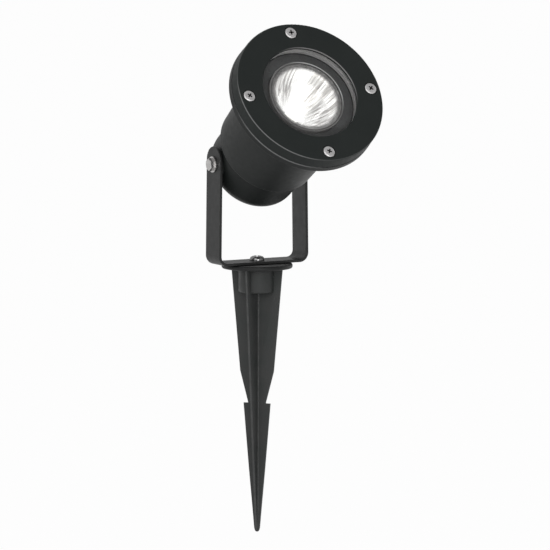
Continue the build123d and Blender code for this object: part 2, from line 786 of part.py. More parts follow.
# Clamp screws of the terminal block
with BuildPart() as terminal_screws:
    with BuildSketch(beam.offset(block_back + terminal_screw_sink)):
        with Locations(*terminal_places):
            Circle(terminal_screw_radius)
    extrude(amount=terminal_screw_length)
terminal_screws.part.label = "terminal_screws"
export_step(terminal_screws.part, "parts/terminal_screws.step")

# Block screw: through the block into the strap
with BuildPart() as block_screw:
    with BuildSketch(beam.offset(block_back)):
        Circle(small_screw_radius)
    extrude(amount=block_height + bracket_thickness)
    with BuildSketch(beam.offset(block_back)):
        Circle(small_head_radius)
    extrude(amount=-small_head_height)
block_screw.part.label = "block_screw"
export_step(block_screw.part, "parts/block_screw.step")

# Leads: out of the back of the holder, round a bend and into the ends of the block
with BuildPart() as holder_leads:
    for way in (1, -1):
        with BuildLine(section) as lead_path:
            Line((way * lead_offset, holder_back + lead_entry), (way * lead_offset, lead_level + lead_bend))
            RadiusArc(
                (way * lead_offset, lead_level + lead_bend),
                (way * (lead_offset - lead_bend), lead_level),
                way * lead_bend,
            )
            Line(
                (way * (lead_offset - lead_bend), lead_level),
                (way * (block_length / 2 - lead_entry), lead_level),
            )
        with BuildSketch(beam.offset(holder_back + lead_entry)):
            with Locations((way * lead_offset, 0)):
                Circle(lead_radius)
        sweep(path=lead_path.wires()[0])
holder_leads.part.label = "holder_leads"
export_step(holder_leads.part, "parts/holder_leads.step")

# Cable gland: a headed bush through the back of the dome
with BuildPart() as gland_body:
    with BuildSketch(beam.offset(gland_seat)):
        Circle(gland_radius)
    extrude(amount=-gland_height)
    fillet(edges().group_by(beam_axis)[0], fitting_play)
    with BuildSketch(beam.offset(gland_seat)):
        Circle(gland_stem_radius)
    extrude(amount=gland_stem_end - gland_seat)
    with BuildSketch(beam.offset(gland_seat - gland_height)):
        Circle(gland_bore)
    extrude(amount=gland_stem_end - gland_seat + gland_height, mode=Mode.SUBTRACT)
gland_body.part.label = "gland_body"
export_step(gland_body.part, "parts/gland_body.step")

# Gland seal: a rubber sleeve that grips the cable
with BuildPart() as gland_seal:
    with BuildSketch(beam.offset(gland_seat - gland_height)):
        Circle(gland_bore - thread_play)
        Circle(gland_seal_bore, mode=Mode.SUBTRACT)
    extrude(amount=gland_seal_length)
gland_seal.part.label = "gland_seal"
export_step(gland_seal.part, "parts/gland_seal.step")

# Gland nut inside the dome
with BuildPart() as gland_nut:
    with BuildSketch(beam.offset(gland_nut_face)):
        RegularPolygon(gland_nut_flats / 2, 6, major_radius=False)
        Circle(gland_stem_radius + thread_play, mode=Mode.SUBTRACT)
    extrude(amount=gland_nut_height)
gland_nut.part.label = "gland_nut"
export_step(gland_nut.part, "parts/gland_nut.step")
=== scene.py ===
import bpy
from math import atan2, cos, pi, radians, sin
from mathutils import Matrix, Vector


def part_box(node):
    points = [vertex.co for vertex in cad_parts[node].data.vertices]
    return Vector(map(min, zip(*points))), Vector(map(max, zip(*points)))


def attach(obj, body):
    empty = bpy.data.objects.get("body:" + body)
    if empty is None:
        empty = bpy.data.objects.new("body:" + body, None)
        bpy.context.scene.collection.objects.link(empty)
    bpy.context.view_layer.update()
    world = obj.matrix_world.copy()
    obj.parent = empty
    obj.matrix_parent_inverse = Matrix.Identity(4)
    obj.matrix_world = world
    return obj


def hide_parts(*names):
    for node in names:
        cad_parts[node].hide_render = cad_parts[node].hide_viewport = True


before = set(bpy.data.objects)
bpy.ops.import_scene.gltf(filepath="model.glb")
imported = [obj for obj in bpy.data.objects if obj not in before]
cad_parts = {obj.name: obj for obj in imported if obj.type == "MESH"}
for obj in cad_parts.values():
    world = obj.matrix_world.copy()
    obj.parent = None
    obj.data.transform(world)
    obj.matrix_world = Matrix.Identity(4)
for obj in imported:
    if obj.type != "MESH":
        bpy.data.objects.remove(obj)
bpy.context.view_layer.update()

# Ground spike: one moulding of dark grey plastic with a flange, a boss and four blades, pushed
# into the soil up to the flange. The blades thin towards their rounded edges so that they leave
# the mould. Their edges are painted lighter as a highlight, and the flange is painted darker as
# shade under the yoke.


def clear_choice(kind):
    """Sets editing to faces, edges or corners, with none of them selected."""
    bpy.ops.object.mode_set(mode="EDIT")
    bpy.ops.mesh.select_mode(type=kind)
    bpy.ops.mesh.select_all(action="DESELECT")
    bpy.ops.object.mode_set(mode="OBJECT")


def pick_faces(piece, wanted):
    """Opens a piece for editing with just the faces selected whose normal passes a test."""
    clear_choice("FACE")
    for face in piece.data.polygons:
        face.select = wanted(face.normal)
    bpy.ops.object.mode_set(mode="EDIT")


def pick_edges(piece, wanted):
    """Opens a piece for editing with just the edges selected whose two ends pass a test."""
    clear_choice("EDGE")
    corners = piece.data.vertices
    for edge in piece.data.edges:
        edge.select = wanted(corners[edge.vertices[0]].co, corners[edge.vertices[1]].co)
    bpy.ops.object.mode_set(mode="EDIT")


def pick_corners(piece, wanted):
    """Opens a piece for editing with just the corners selected whose place passes a test."""
    clear_choice("VERT")
    for corner in piece.data.vertices:
        corner.select = wanted(corner.co)
    bpy.ops.object.mode_set(mode="EDIT")


def round_edges(piece, size, segments, wanted):
    """Rounds the edges of a piece whose two ends pass a test."""
    pick_edges(piece, wanted)
    bpy.ops.mesh.bevel(offset=size, segments=segments, affect="EDGES")
    bpy.ops.object.mode_set(mode="OBJECT")


def is_level(first, last):
    """Whether an edge between two corners runs level."""
    return abs(first.z - last.z) < 0.0001


def cylinder(sides, radius, low, high):
    """A cylinder round the Z axis between two heights."""
    bpy.ops.mesh.primitive_cylinder_add(
        vertices=sides,
        radius=radius,
        depth=high - low,
        location=(0, 0, (high + low) / 2),
    )
    bpy.ops.object.transform_apply(location=True, rotation=True, scale=True)
    return bpy.context.object


def choose(piece):
    """Selects one piece alone and makes it the active one."""
    bpy.ops.object.select_all(action="DESELECT")
    bpy.context.view_layer.objects.active = piece
    piece.select_set(True)


def settle(piece, place):
    """Moves a piece to its place and keeps the place in its mesh."""
    choose(piece)
    piece.matrix_world = place
    bpy.ops.object.transform_apply(location=True, rotation=True, scale=True)


def join_or_cut(piece, tool, way):
    """Adds a second shape to a piece or cuts it away, and removes that shape."""
    choose(piece)
    change = piece.modifiers.new("change", "BOOLEAN")
    change.operation = way
    change.object = tool
    bpy.ops.object.modifier_apply(modifier="change")
    bpy.data.objects.remove(tool, do_unlink=True)


blade_reach = 0.01745
blade_start = 0.001
blade_turn = radians(-142)
root_half = 0.0013
root_round = 0.0012
edge_half = 0.00062
edge_round = 0.00045
half_way = blade_reach / 2
same_depth = 0.00001
bpy.ops.mesh.primitive_plane_add(size=2 * root_half, location=(0, 0, blade_start))
moulded_spike = bpy.context.object
moulded_spike.name = "moulded_spike"
bpy.ops.object.transform_apply(location=True, rotation=True, scale=True)
thin = edge_half / root_half
for way in (Vector((1, 0, 0)), Vector((0, 1, 0)), Vector((-1, 0, 0)), Vector((0, -1, 0))):
    pick_edges(moulded_spike, lambda first, last: min(first.dot(way), last.dot(way)) > 0.9 * root_half)
    bpy.ops.mesh.extrude_region_move(TRANSFORM_OT_translate={"value": way * (blade_reach - root_half)})
    squeeze = (1, thin, 1) if way.x else (thin, 1, 1)
    bpy.ops.transform.resize(value=squeeze, center_override=way * blade_reach)
pick_faces(moulded_spike, lambda normal: True)
bpy.ops.mesh.dissolve_faces()
pick_corners(moulded_spike, lambda place: max(abs(place.x), abs(place.y)) < half_way)
bpy.ops.mesh.bevel(offset=root_round, segments=4, affect="VERTICES")
pick_corners(moulded_spike, lambda place: max(abs(place.x), abs(place.y)) > half_way)
bpy.ops.mesh.bevel(offset=edge_round, segments=3, affect="VERTICES")
# Each row is a depth, the reach of the plain and of the barbed blades there, and the scale of the
# root, of the plain edges and of the barbed edges.
blade_steps = (
    (0.0645, 0.01122, 0.01135, 0.818, 1.026, 1.017),
    (0.0846, 0.00928, 0.00575, 0.761, 1.034, 1.273),
    (0.08464, 0.00928, 0.00905, 0.761, 1.034, 1.049),
    (0.125, 0.00537, 0.00542, 0.648, 1.05, 1.047),
    (0.150, 0.00296, 0.00295, 0.577, 1.06, 1.06),
    (0.1625, 0.00175, 0.00175, 0.54, 1.065, 1.065),
    (0.1640, 0.00138, 0.00138, 0.425, 0.84, 0.84),
    (0.1647, 0.00095, 0.00095, 0.293, 0.58, 0.58),
    (0.165, 0.00045, 0.00045, 0.139, 0.274, 0.274),
)
pick_faces(moulded_spike, lambda normal: True)
last_depth = -blade_start
for depth, *rest in blade_steps:
    bpy.ops.mesh.extrude_region_move(TRANSFORM_OT_translate={"value": (0, 0, last_depth - depth)})
    last_depth = depth
for depth, plain, barbed, root, plain_edge, barbed_edge in blade_steps:
    for wanted, change in (
        (lambda place: max(abs(place.x), abs(place.y)) < half_way, (root, root, 1)),
        (lambda place: abs(place.x) > half_way, (plain / blade_reach, plain_edge, 1)),
        (lambda place: abs(place.y) > half_way, (barbed_edge, barbed / blade_reach, 1)),
    ):
        pick_corners(moulded_spike, lambda place: abs(place.z + depth) < same_depth and wanted(place))
        bpy.ops.transform.resize(value=change, center_override=(0, 0, -depth))
bpy.ops.mesh.select_all(action="SELECT")
bpy.ops.mesh.normals_make_consistent(inside=False)
bpy.ops.object.mode_set(mode="OBJECT")
settle(moulded_spike, Matrix.Rotation(blade_turn, 4, "Z"))
boss_radius = 0.0116
boss_top = 0.001
boss_foot = -0.0152
boss_round = 0.0013
boss = cylinder(96, boss_radius, boss_foot, boss_top)
round_edges(boss, boss_round, 4, lambda first, last: max(first.z, last.z) < boss_foot + 0.0002)
flange_radius = 0.0221
flange_thickness = 0.0028
flange_round = 0.001
flange = cylinder(128, flange_radius, 0, flange_thickness)
round_edges(flange, flange_round, 4, is_level)
join_or_cut(moulded_spike, boss, "UNION")
join_or_cut(moulded_spike, flange, "UNION")
hole_radius = 0.0027
hole_foot = -0.010
hole_top = 0.004
join_or_cut(moulded_spike, cylinder(48, hole_radius, hole_foot, hole_top), "DIFFERENCE")
nut_low, nut_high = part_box("spike_nut")
nut_play = 0.0002
slot_half = nut_high[0] + nut_play
slot_back = nut_low[1] - nut_play
slot_mouth = 0.013
bpy.ops.mesh.primitive_cube_add(
    size=1,
    location=(0, (slot_back + slot_mouth) / 2, (nut_low[2] + nut_high[2]) / 2),
    scale=(2 * slot_half, slot_mouth - slot_back, nut_high[2] - nut_low[2] + 2 * nut_play),
)
join_or_cut(moulded_spike, bpy.context.object, "DIFFERENCE")
bpy.ops.object.shade_smooth_by_angle(angle=radians(35))


def start_finish(name, colour, roughness):
    """A new material with its plain colour and roughness, and the piece's own coordinates for patterns."""
    finish = bpy.data.materials.new(name)
    finish.use_nodes = True
    shader = finish.node_tree.nodes["Principled BSDF"]
    shader.inputs["Base Color"].default_value = (*colour, 1)
    shader.inputs["Roughness"].default_value = roughness
    place = finish.node_tree.nodes.new("ShaderNodeTexCoord")
    return finish, finish.node_tree, shader, place.outputs["Object"]


def cloud(tree, where, size, detail=3.0):
    """A noise pattern whose blotches are about the given size in metres."""
    noise = tree.nodes.new("ShaderNodeTexNoise")
    noise.inputs["Scale"].default_value = 1 / size
    noise.inputs["Detail"].default_value = detail
    tree.links.new(where, noise.inputs["Vector"])
    return noise.outputs["Fac"]


def tint(tree, pattern, shader, first, last, spread=(0.35, 0.65), target="Base Color"):
    """Lets a pattern move a colour of the shader between two shades."""
    ramp = tree.nodes.new("ShaderNodeValToRGB")
    for stop, place, shade in zip(ramp.color_ramp.elements, spread, (first, last)):
        stop.position = place
        stop.color = (*shade, 1)
    tree.links.new(pattern, ramp.inputs["Fac"])
    tree.links.new(ramp.outputs["Color"], shader.inputs[target])


def vary_gloss(tree, pattern, shader, smoothest, roughest):
    """Lets a pattern move the roughness between two values."""
    span = tree.nodes.new("ShaderNodeMapRange")
    span.inputs["From Min"].default_value = 0.3
    span.inputs["From Max"].default_value = 0.7
    span.inputs["To Min"].default_value = smoothest
    span.inputs["To Max"].default_value = roughest
    tree.links.new(pattern, span.inputs["Value"])
    tree.links.new(span.outputs["Result"], shader.inputs["Roughness"])


def raise_grain(tree, pattern, shader, height):
    """Raises a pattern on the surface to a height in metres."""
    bump = tree.nodes.new("ShaderNodeBump")
    bump.inputs["Distance"].default_value = height
    tree.links.new(pattern, bump.inputs["Height"])
    tree.links.new(bump.outputs["Normal"], shader.inputs["Normal"])


def lay_over(tree, shader, share, colour):
    """Lays another colour over what the shader has, as far as a measure says. The mix node takes
    colours at its sockets 6 and 7 and gives one at its socket 2."""
    under = shader.inputs["Base Color"].links[0].from_socket
    layer = tree.nodes.new("ShaderNodeMix")
    layer.data_type = "RGBA"
    layer.inputs[7].default_value = (*colour, 1)
    tree.links.new(share, layer.inputs[0])
    tree.links.new(under, layer.inputs[6])
    tree.links.new(layer.outputs[2], shader.inputs["Base Color"])


def fade(tree, value, start, end, first=0.0, last=1.0):
    """Goes smoothly from one value to another as a measure goes from start to end."""
    span = tree.nodes.new("ShaderNodeMapRange")
    span.interpolation_type = "SMOOTHSTEP"
    span.inputs["From Min"].default_value = start
    span.inputs["From Max"].default_value = end
    span.inputs["To Min"].default_value = first
    span.inputs["To Max"].default_value = last
    tree.links.new(value, span.inputs["Value"])
    return span.outputs["Result"]


def split(tree, where):
    """The three measures of a set of coordinates."""
    parts = tree.nodes.new("ShaderNodeSeparateXYZ")
    tree.links.new(where, parts.inputs["Vector"])
    return parts.outputs["X"], parts.outputs["Y"], parts.outputs["Z"]


spike_plastic, tree, shader, where = start_finish("spike_plastic", (0.038, 0.0402, 0.0394), 0.5)
shader.inputs["Specular IOR Level"].default_value = 0.3
tint(tree, cloud(tree, where, 0.012, 5), shader, (0.0338, 0.0372, 0.036), (0.0425, 0.0432, 0.0428))
height = split(tree, where)[2]
# Painted shade: the flange and the top of the boss are darker, as in the yoke's shade.
lay_over(tree, shader, fade(tree, height, -0.002, 0.0004), (0.0095, 0.010, 0.010))
vary_gloss(tree, cloud(tree, where, 0.006), shader, 0.44, 0.58)
raise_grain(tree, cloud(tree, where, 0.0006, 2), shader, 0.00003)
# Painted highlight: a lighter plastic for the outward facing edge faces of the blades, where light catches
# them.
edge_highlight_paint, tree, shader, where = start_finish("edge_highlight_paint", (0.062, 0.064, 0.063), 0.5)
shader.inputs["Specular IOR Level"].default_value = 0.3
tint(tree, cloud(tree, where, 0.005, 5), shader, (0.052, 0.054, 0.053), (0.074, 0.0755, 0.075))
raise_grain(tree, cloud(tree, where, 0.0006, 2), shader, 0.00003)
moulded_spike.data.materials.append(spike_plastic)
moulded_spike.data.materials.append(edge_highlight_paint)
edge_highlight_start = -0.001
edge_highlight_facing = 0.75
# The blades' edge faces below the flange take the painted highlight.
for face in moulded_spike.data.polygons:
    way_out = Vector((face.center.x, face.center.y, 0)).normalized()
    past_boss = face.center.xy.length > boss_radius + 0.0002 or face.center.z < boss_foot - 0.0004
    below_flange = face.center.z < edge_highlight_start
    face.material_index = int(past_boss and below_flange and face.normal.dot(way_out) > edge_highlight_facing)
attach(moulded_spike, "spike")
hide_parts("ground_spike")

# Spike nut: a plain zinc plated hexagon nut, slid into the boss from the side so that it
# can't turn when the yoke screw is tightened.


def dress(node, finish):
    """Puts a finish on a piece of the frame."""
    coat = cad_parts[node].data.materials
    coat.clear()
    coat.append(finish)


zinc_steel, tree, shader, where = start_finish("zinc_steel", (0.70, 0.69, 0.69), 0.4)
shader.inputs["Metallic"].default_value = 1.0
tint(tree, cloud(tree, where, 0.0016, 4), shader, (0.64, 0.63, 0.63), (0.76, 0.75, 0.75))
vary_gloss(tree, cloud(tree, where, 0.0008), shader, 0.34, 0.5)
raise_grain(tree, cloud(tree, where, 0.0004, 2), shader, 0.00001)
dress("spike_nut", zinc_steel)

# Yoke bracket: one steel strip bent into a U with rounded arm ends, painted satin black.
# The paint has the faint orange peel of a baked coat.
yoke_paint, tree, shader, where = start_finish("yoke_paint", (0.013, 0.0135, 0.0135), 0.45)
shader.inputs["Specular IOR Level"].default_value = 0.35
tint(tree, cloud(tree, where, 0.02), shader, (0.0118, 0.0122, 0.0122), (0.0145, 0.0149, 0.0149))
vary_gloss(tree, cloud(tree, where, 0.004), shader, 0.42, 0.5)
raise_grain(tree, cloud(tree, where, 0.0009, 2), shader, 0.000025)
dress("yoke_bracket", yoke_paint)

# Yoke screw: a dark plated pan head screw, slotted crosswise. It goes down through the
# yoke and the flange into the nut, and the yoke turns round it.
# Painted shade: a dark metal for the walls and beds of the screws' slots, where shade falls.
recess_shade, tree, shader, where = start_finish("recess_shade", (0.06, 0.058, 0.056), 0.6)
shader.inputs["Metallic"].default_value = 1.0
tint(tree, cloud(tree, where, 0.001), shader, (0.04, 0.039, 0.038), (0.09, 0.088, 0.085))


def pan_screw(name, finish, head_radius, crown, shank_radius, shank_length, slot_size, slot_foot):
    """A pan head screw, head up with its seat on the origin. The crown lists inward and upward
    steps, the slots' size is their reach, width and depth, and their foot is the share of the
    reach that is left at their bottom."""
    skirt = 0.0007
    end_bevel = 0.0004
    slot_narrowing = 0.6
    slot_reach, slot_width, slot_depth = slot_size
    screw = cylinder(48, head_radius, 0, skirt)
    screw.name = name
    pick_faces(screw, lambda normal: normal.z > 0.9)
    for inward, upward in crown:
        bpy.ops.mesh.inset(thickness=inward, depth=upward)
    pick_faces(screw, lambda normal: normal.z < -0.9)
    bpy.ops.mesh.inset(thickness=head_radius - shank_radius)
    bpy.ops.mesh.extrude_region_move(TRANSFORM_OT_translate={"value": (0, 0, -shank_length)})
    bpy.ops.mesh.inset(thickness=end_bevel, depth=end_bevel)
    bpy.ops.object.mode_set(mode="OBJECT")
    top = skirt + sum(upward for inward, upward in crown)
    for turn in (0, pi / 2):
        bpy.ops.mesh.primitive_cube_add(
            size=1,
            location=(0, 0, top),
            scale=(2 * slot_reach, slot_width, 2 * slot_depth),
        )
        cutter = bpy.context.object
        bpy.ops.object.transform_apply(location=True, rotation=True, scale=True)
        pick_faces(cutter, lambda normal: normal.z < -0.9)
        bottom = (0, 0, top - slot_depth)
        bpy.ops.transform.resize(value=(slot_foot, slot_narrowing, 1), center_override=bottom)
        bpy.ops.object.mode_set(mode="OBJECT")
        cutter.matrix_world = Matrix.Rotation(turn, 4, "Z")
        join_or_cut(screw, cutter, "DIFFERENCE")
    bpy.ops.object.shade_smooth_by_angle(angle=radians(38))
    screw.data.materials.append(finish)
    screw.data.materials.append(recess_shade)
    # The slot walls and beds take recess_shade, the painted shade.
    for face in screw.data.polygons:
        way_out = Vector((face.center.x, face.center.y, 0)).normalized()
        slot_wall = face.normal.z < 0.9 and face.normal.dot(way_out) < 0.35
        slot_bed = face.normal.z >= 0.9 and face.center.z < top - 0.0008
        face.material_index = int(face.center.z > 0.0001 and (slot_wall or slot_bed))
    return screw


dark_steel, tree, shader, where = start_finish("dark_steel", (0.25, 0.25, 0.25), 0.25)
shader.inputs["Metallic"].default_value = 1.0
tint(tree, cloud(tree, where, 0.0014, 4), shader, (0.20, 0.20, 0.20), (0.32, 0.32, 0.32))
vary_gloss(tree, cloud(tree, where, 0.0008), shader, 0.16, 0.32)
raise_grain(tree, cloud(tree, where, 0.0004, 2), shader, 0.00001)
yoke_screw_seat = 0.0049
yoke_screw_turn = radians(-28)
yoke_crown = ((0.00012, 0.0005), (0.0004, 0.0006), (0.0008, 0.0005), (0.0012, 0.00035), (0.0008, 0.0001))
yoke_screw = pan_screw(
    "yoke_screw_head",
    dark_steel,
    head_radius=0.0046,
    crown=yoke_crown,
    shank_radius=0.0025,
    shank_length=0.0134,
    slot_size=(0.0048, 0.0009, 0.0012),
    slot_foot=1.0,
)
settle(yoke_screw, Matrix.Translation((0, 0, yoke_screw_seat)) @ Matrix.Rotation(yoke_screw_turn, 4, "Z"))
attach(yoke_screw, "spike")
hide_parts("yoke_screw")

# Pivot bolts and washers: zinc plated hexagon bolts through the yoke's arms into the
# housing, with a plain washer under each head.
bolt_zinc, tree, shader, where = start_finish("bolt_zinc", (0.50, 0.49, 0.485), 0.3)
shader.inputs["Metallic"].default_value = 1.0
tint(tree, cloud(tree, where, 0.0016, 4), shader, (0.45, 0.44, 0.435), (0.54, 0.53, 0.525))
vary_gloss(tree, cloud(tree, where, 0.003), shader, 0.24, 0.32)
raise_grain(tree, cloud(tree, where, 0.0004, 2), shader, 0.00001)
dress("pivot_bolts", bolt_zinc)
dress("pivot_washers", bolt_zinc)

# Head housing: a die casting with a flange, a barrel, a step and a domed back, powder
# coated black. The powder melts to a fine satin texture. Light lines along the edges of the
# flange and the step are painted highlights, the flange's line strongest on its lit side.
beam_turn = radians(-54)
pivot_height = 0.0663


def along_beam(tree, where):
    """Coordinates with Z along the beam and zero at the tilt axis."""
    turn = tree.nodes.new("ShaderNodeMapping")
    shift = (0, pivot_height * sin(beam_turn), -pivot_height * cos(beam_turn))
    turn.inputs["Location"].default_value = shift
    turn.inputs["Rotation"].default_value = (beam_turn, 0, 0)
    tree.links.new(where, turn.inputs["Vector"])
    return turn.outputs["Vector"]


def across_beam(tree, beam):
    """The part of the coordinates square to the beam, and its length."""
    flat = tree.nodes.new("ShaderNodeVectorMath")
    flat.operation = "MULTIPLY"
    flat.inputs[1].default_value = (1, 1, 0)
    tree.links.new(beam, flat.inputs[0])
    reach = tree.nodes.new("ShaderNodeVectorMath")
    reach.operation = "LENGTH"
    tree.links.new(flat.outputs["Vector"], reach.inputs[0])
    return flat.outputs["Vector"], reach.outputs["Value"]


def unit(tree, where):
    """The way that a set of coordinates points, with a length of one."""
    spoke = tree.nodes.new("ShaderNodeVectorMath")
    spoke.operation = "NORMALIZE"
    tree.links.new(where, spoke.inputs[0])
    return spoke.outputs["Vector"]


def towards(tree, where, way):
    """How far a set of coordinates points along a way, from minus one to one."""
    share = tree.nodes.new("ShaderNodeVectorMath")
    share.operation = "DOT_PRODUCT"
    share.inputs[1].default_value = way
    tree.links.new(unit(tree, where), share.inputs[0])
    return share.outputs["Value"]


def combine(tree, operation, first, second):
    """One measure made of two others."""
    both = tree.nodes.new("ShaderNodeMath")
    both.operation = operation
    tree.links.new(first, both.inputs[0])
    tree.links.new(second, both.inputs[1])
    return both.outputs["Value"]


def times(tree, first, second):
    """The product of two measures."""
    return combine(tree, "MULTIPLY", first, second)


# Each pair is where a fade along the beam or out from its axis starts and ends.
flange_front = (0.0763, 0.0768)
flange_rim = (0.0487, 0.0490)
flange_lit_side = (-0.67, -0.74, 0)
step_start = (0.0171, 0.0173)
step_end = (0.0181, 0.0178)
head_paint, tree, shader, where = start_finish("head_paint", (0.0083, 0.0102, 0.0097), 0.45)
shader.inputs["Specular IOR Level"].default_value = 0.2
tint(tree, cloud(tree, where, 0.02), shader, (0.0075, 0.0094, 0.0089), (0.0095, 0.0114, 0.0109))
beam = along_beam(tree, where)
flat, reach = across_beam(tree, beam)
ahead = split(tree, beam)[2]
# Painted highlight: a light line along the flange's front edge, strongest on its lit side.
flange_edge_highlight = times(tree, fade(tree, ahead, *flange_front), fade(tree, reach, *flange_rim))
lit_side = fade(tree, towards(tree, flat, flange_lit_side), 0.7, 0.97, 0.2, 1.0)
lay_over(tree, shader, times(tree, flange_edge_highlight, lit_side), (0.16, 0.162, 0.162))
# Painted highlight: a faint light line along the step.
step_highlight = times(tree, fade(tree, ahead, *step_start), fade(tree, ahead, *step_end))
lay_over(tree, shader, step_highlight, (0.02, 0.022, 0.0215))
vary_gloss(tree, cloud(tree, where, 0.003), shader, 0.42, 0.5)
raise_grain(tree, cloud(tree, where, 0.0007, 2), shader, 0.00003)
dress("head_housing", head_paint)

# Cable gland: a black nylon bush through the middle of the dome with a rubber seal in its
# bore, held by a nut inside.
gland_plastic, tree, shader, where = start_finish("gland_plastic", (0.015, 0.015, 0.0155), 0.45)
tint(tree, cloud(tree, where, 0.004), shader, (0.013, 0.013, 0.0135), (0.018, 0.018, 0.0185))
raise_grain(tree, cloud(tree, where, 0.0005, 2), shader, 0.00002)
dress("gland_body", gland_plastic)
dress("gland_nut", gland_plastic)
seal_rubber, tree, shader, where = start_finish("seal_rubber", (0.010, 0.010, 0.010), 0.7)
tint(tree, cloud(tree, where, 0.003), shader, (0.008, 0.008, 0.008), (0.013, 0.013, 0.013))
raise_grain(tree, cloud(tree, where, 0.0004, 2), shader, 0.00002)
dress("gland_seal", seal_rubber)

# Holder bracket with its screws: a plated steel strap across the two pillars in the dome,
# which carries the lamp holder in front and the terminal block behind.
for node in ("holder_bracket", "holder_screws", "bracket_screws", "block_screw"):
    dress(node, zinc_steel)

# Terminal block and the brass parts: heat proof plastic with clamp screws, and an earth tag
# under one bracket screw. The holder's contacts and the lamp's pins are plated alike.
block_plastic, tree, shader, where = start_finish("block_plastic", (0.72, 0.71, 0.67), 0.5)
tint(tree, cloud(tree, where, 0.004), shader, (0.68, 0.67, 0.63), (0.75, 0.74, 0.70))
raise_grain(tree, cloud(tree, where, 0.0005, 2), shader, 0.00002)
dress("terminal_block", block_plastic)
plated_brass, tree, shader, where = start_finish("plated_brass", (0.70, 0.66, 0.52), 0.3)
shader.inputs["Metallic"].default_value = 1.0
tint(tree, cloud(tree, where, 0.0015), shader, (0.62, 0.58, 0.44), (0.76, 0.72, 0.58))
raise_grain(tree, cloud(tree, where, 0.0004, 2), shader, 0.00001)
for node in ("terminal_screws", "earth_tag", "holder_contacts", "lamp_pins"):
    dress(node, plated_brass)

# Leads: two short wires in woven glass fibre sleeves, from the holder to the block. The
# sleeves stand the heat behind the lamp.
lead_sleeve, tree, shader, where = start_finish("lead_sleeve", (0.62, 0.60, 0.54), 0.8)
weave = tree.nodes.new("ShaderNodeTexWave")
weave.inputs["Scale"].default_value = 900
weave.inputs["Distortion"].default_value = 1.5
tree.links.new(where, weave.inputs["Vector"])
tint(tree, weave.outputs["Fac"], shader, (0.50, 0.48, 0.42), (0.66, 0.64, 0.58))
raise_grain(tree, weave.outputs["Fac"], shader, 0.00008)
dress("holder_leads", lead_sleeve)

# Lamp holder and lamp base: unglazed steatite, cream coloured and slightly speckled, which
# stands the lamp's heat.
ceramic, tree, shader, where = start_finish("ceramic", (0.72, 0.70, 0.64), 0.6)
tint(tree, cloud(tree, where, 0.0012, 6), shader, (0.66, 0.64, 0.58), (0.76, 0.74, 0.69))
raise_grain(tree, cloud(tree, where, 0.0004), shader, 0.00004)
dress("lamp_holder", ceramic)
dress("lamp_base", ceramic)

# Lamp reflector: a pressed glass bowl with a bright coating, fluted on the inside. Its glow is
# painted light that stands for the lit capsule's reflection, white in the middle, with painted
# shade on its sides and in streaks that run out from the neck, and a painted glint on the rim's
# bead at the upper right.
head_frame = Matrix.Translation((0, 0, pivot_height)) @ Matrix.Rotation(-beam_turn, 4, "X")
flutes = 72
flute_crest = 0.984
same_ring = 0.00001
rim_radius = 0.025
rim_inside = 0.0235
rim_front = 0.0806
rim_back = 0.0770
rim_bevel = 0.0003
lip_bevel = 0.0002
glass_seat = 0.0788
neck_inside = 0.0094
neck_outside = 0.011
neck_floor = 0.0492
neck_end = 0.0488
neck_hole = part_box("lamp_capsule")[1][0] + 0.0003
bowl_middle = -0.01181
bowl_radius = 0.03371
bowl_swing = 51
back_middle = -0.00657
back_radius = 0.03007
back_swing = 54.2
arc_steps = 12
bowl = []
outside = []
for step in range(arc_steps + 1):
    swing = radians(bowl_swing * step / arc_steps)
    bowl.append((bowl_middle + bowl_radius * cos(swing), glass_seat - bowl_radius * sin(swing)))
    swing = radians(back_swing * (arc_steps - step) / arc_steps)
    outside.append((back_middle + back_radius * cos(swing), rim_back - back_radius * sin(swing)))
rings = [
    (rim_inside, glass_seat),
    *bowl,
    (neck_inside, neck_floor),
    (neck_hole, neck_floor),
    (neck_hole, neck_end),
    (neck_outside, neck_end),
    *outside,
    (rim_radius, rim_back),
    (rim_radius, rim_front - rim_bevel),
    (rim_radius - rim_bevel, rim_front),
    (rim_inside + lip_bevel, rim_front),
    (rim_inside, rim_front - lip_bevel),
    (rim_inside, glass_seat),
]
bpy.ops.mesh.primitive_circle_add(vertices=2 * flutes, radius=rim_inside, location=(0, 0, glass_seat))
fluted_reflector = bpy.context.object
fluted_reflector.name = "fluted_reflector"
bpy.ops.object.transform_apply(location=True, rotation=True, scale=True)
pick_edges(fluted_reflector, lambda first, last: True)
for (last_radius, last_height), (radius, height) in zip(rings, rings[1:]):
    bpy.ops.mesh.extrude_region_move(TRANSFORM_OT_translate={"value": (0, 0, height - last_height)})
    wider = radius / last_radius
    bpy.ops.transform.resize(value=(wider, wider, 1), center_override=(0, 0, height))
bpy.ops.mesh.select_all(action="SELECT")
bpy.ops.mesh.remove_doubles(threshold=0.000001)
bpy.ops.mesh.normals_make_consistent(inside=False)


def on_crest(place):
    """Whether a corner of the bowl lies on a crest between two flutes."""
    column = round(atan2(place.y, place.x) * flutes / pi)
    gaps = [abs(place.xy.length - radius) + abs(place.z - height) for radius, height in bowl[1:]]
    return column % 2 == 1 and min(gaps) < same_ring


pick_corners(fluted_reflector, on_crest)
bpy.ops.transform.resize(value=(flute_crest, flute_crest, 1), center_override=(0, 0, 0))
bpy.ops.object.mode_set(mode="OBJECT")
bpy.ops.object.shade_smooth_by_angle(angle=radians(40))
settle(fluted_reflector, head_frame)


def spokes(tree, flat):
    """The sideways and upward share of the way out from the beam's axis."""
    return split(tree, unit(tree, flat))[:2]


